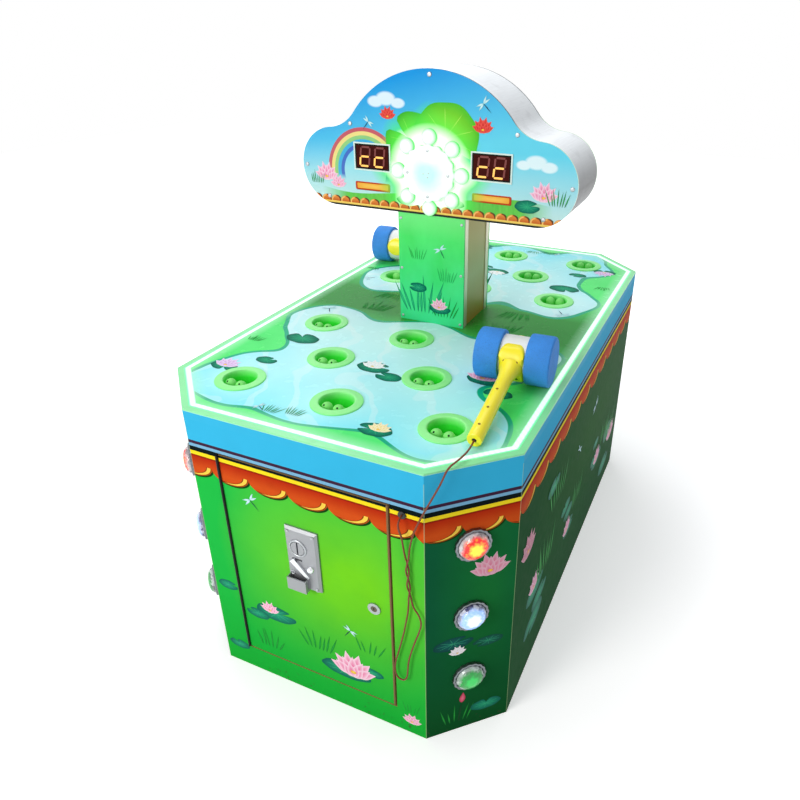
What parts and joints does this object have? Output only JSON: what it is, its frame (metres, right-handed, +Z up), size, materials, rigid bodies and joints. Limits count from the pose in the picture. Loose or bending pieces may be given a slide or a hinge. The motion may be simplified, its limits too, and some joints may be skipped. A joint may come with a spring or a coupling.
{
  "type": "mole pounding arcade machine",
  "caption": "Two-sided mole pounding machine: octagonal cabinet with pop-up targets in the deck, soft mallets, coin door, corner lamps and a lit header on a post.",
  "frame": {"origin": "on the floor under the middle of the cabinet", "axes": "+Z up, +Y from the coin door toward the rear player, +X to the right seen from the coin door"},
  "size_m": [0.666, 1.1478, 1.0719],
  "materials": {
    "wood_panel": "printed laminate over board",
    "bare_board": "bare board",
    "printed_sheet": "printed acrylic",
    "light_diffuser": "lit diffuser",
    "trim": "pale mint",
    "cup": "moulded",
    "mole": "moulded",
    "steel": "zinc plated",
    "post_aluminium": "brushed",
    "post_sheet": "olive gold, brushed",
    "printed_acrylic": "printed acrylic",
    "header_metal": "satin",
    "display": "dark window in a pale frame",
    "burst_lens": "lit clear moulding",
    "lamp_rim": "plated",
    "lamp_lens": "clear, faceted",
    "coin_metal": "cast, satin",
    "chrome": "polished",
    "mallet_plastic": "moulded yellow",
    "mallet_core": "moulded white",
    "mallet_foam": "blue foam",
    "cord": "dark red flex",
    "black_plastic": "moulded black",
    "circuit": "circuit board"
  },
  "bodies": {
    "cabinet": {"base_board": "bare_board", "front_frame": "wood_panel", "rear_panel": "wood_panel", "left_side_panel": "wood_panel", "right_side_panel": "wood_panel", "corner_panels": "wood_panel", "deck_board": "wood_panel", "playfield_sheet": "printed_sheet", "light_strip": "light_diffuser", "edge_trim": "trim", "hole_cups": "cup", "solenoids": "steel", "mechanism_frame": "steel", "lamp_bodies": "lamp_rim", "lamp_lenses": "lamp_lens", "post_sides": "post_sheet", "post_frame": "post_aluminium", "post_panels": "printed_acrylic", "header_band": "header_metal", "header_panels": "printed_acrylic", "header_spacers": "steel", "score_displays": "display", "burst_lamps": "burst_lens", "hinge_frame_leaf": "steel", "cash_box": "steel", "power_inlet": "black_plastic", "control_board": "circuit", "power_supply": "steel", "front_cord": "cord", "cord_eyelet": "black_plastic"},
    "door": {"service_door": "wood_panel", "hinge_door_leaf": "steel", "coin_plate": "coin_metal", "coin_validator": "steel", "lock_barrel": "chrome"},
    "lock": {"lock_plug": "chrome"},
    "return_lever": {"return_lever": "chrome"},
    "front_mallet": {"front_mallet_handle": "mallet_plastic", "front_mallet_core": "mallet_core", "front_mallet_drums": "mallet_foam"},
    "rear_mallet": {"rear_mallet_handle": "mallet_plastic", "rear_mallet_core": "mallet_core", "rear_mallet_drums": "mallet_foam"},
    "mole_front_1": {"mole_front_1": "mole"},
    "mole_front_2": {"mole_front_2": "mole"},
    "mole_front_3": {"mole_front_3": "mole"},
    "mole_front_4": {"mole_front_4": "mole"},
    "mole_front_5": {"mole_front_5": "mole"},
    "mole_front_6": {"mole_front_6": "mole"},
    "mole_front_7": {"mole_front_7": "mole"},
    "mole_front_8": {"mole_front_8": "mole"},
    "mole_rear_1": {"mole_rear_1": "mole"},
    "mole_rear_2": {"mole_rear_2": "mole"},
    "mole_rear_3": {"mole_rear_3": "mole"},
    "mole_rear_4": {"mole_rear_4": "mole"},
    "mole_rear_5": {"mole_rear_5": "mole"},
    "mole_rear_6": {"mole_rear_6": "mole"},
    "mole_rear_7": {"mole_rear_7": "mole"},
    "mole_rear_8": {"mole_rear_8": "mole"}
  },
  "joints": [
    {"name": "door_hinge", "type": "hinge", "parent": "cabinet", "child": "door", "pos_m": [-0.1613, -0.5662, 0.2815], "axis": [0, 0, -1], "range_deg": [0, 110]},
    {"name": "lock_turn", "type": "hinge", "parent": "door", "child": "lock", "pos_m": [0.127, -0.564, 0.2815], "axis": [0, 1, 0], "range_deg": [-90, 0]},
    {"name": "return_lever_turn", "type": "hinge", "parent": "door", "child": "return_lever", "pos_m": [-0.009, -0.572, 0.322], "axis": [0, -1, 0], "range_deg": [0, 20], "stiffness_Nm_per_rad": 0.05},
    {"name": "front_mallet_lift", "type": "slide", "parent": "cabinet", "child": "front_mallet", "axis": [0, 0, 1], "range_m": [0, 0.12]},
    {"name": "rear_mallet_lift", "type": "slide", "parent": "cabinet", "child": "rear_mallet", "axis": [0, 0, 1], "range_m": [0, 0.12]},
    {"name": "mole_front_1_rise", "type": "slide", "parent": "cabinet", "child": "mole_front_1", "axis": [0, 0, 1], "range_m": [0, 0.045]},
    {"name": "mole_front_2_rise", "type": "slide", "parent": "cabinet", "child": "mole_front_2", "axis": [0, 0, 1], "range_m": [0, 0.045]},
    {"name": "mole_front_3_rise", "type": "slide", "parent": "cabinet", "child": "mole_front_3", "axis": [0, 0, 1], "range_m": [0, 0.045]},
    {"name": "mole_front_4_rise", "type": "slide", "parent": "cabinet", "child": "mole_front_4", "axis": [0, 0, 1], "range_m": [0, 0.045]},
    {"name": "mole_front_5_rise", "type": "slide", "parent": "cabinet", "child": "mole_front_5", "axis": [0, 0, 1], "range_m": [0, 0.045]},
    {"name": "mole_front_6_rise", "type": "slide", "parent": "cabinet", "child": "mole_front_6", "axis": [0, 0, 1], "range_m": [0, 0.045]},
    {"name": "mole_front_7_rise", "type": "slide", "parent": "cabinet", "child": "mole_front_7", "axis": [0, 0, 1], "range_m": [0, 0.045]},
    {"name": "mole_front_8_rise", "type": "slide", "parent": "cabinet", "child": "mole_front_8", "axis": [0, 0, 1], "range_m": [0, 0.045]},
    {"name": "mole_rear_1_rise", "type": "slide", "parent": "cabinet", "child": "mole_rear_1", "axis": [0, 0, 1], "range_m": [0, 0.045]},
    {"name": "mole_rear_2_rise", "type": "slide", "parent": "cabinet", "child": "mole_rear_2", "axis": [0, 0, 1], "range_m": [0, 0.045]},
    {"name": "mole_rear_3_rise", "type": "slide", "parent": "cabinet", "child": "mole_rear_3", "axis": [0, 0, 1], "range_m": [0, 0.045]},
    {"name": "mole_rear_4_rise", "type": "slide", "parent": "cabinet", "child": "mole_rear_4", "axis": [0, 0, 1], "range_m": [0, 0.045]},
    {"name": "mole_rear_5_rise", "type": "slide", "parent": "cabinet", "child": "mole_rear_5", "axis": [0, 0, 1], "range_m": [0, 0.045]},
    {"name": "mole_rear_6_rise", "type": "slide", "parent": "cabinet", "child": "mole_rear_6", "axis": [0, 0, 1], "range_m": [0, 0.045]},
    {"name": "mole_rear_7_rise", "type": "slide", "parent": "cabinet", "child": "mole_rear_7", "axis": [0, 0, 1], "range_m": [0, 0.045]},
    {"name": "mole_rear_8_rise", "type": "slide", "parent": "cabinet", "child": "mole_rear_8", "axis": [0, 0, 1], "range_m": [0, 0.045]}
  ]
}
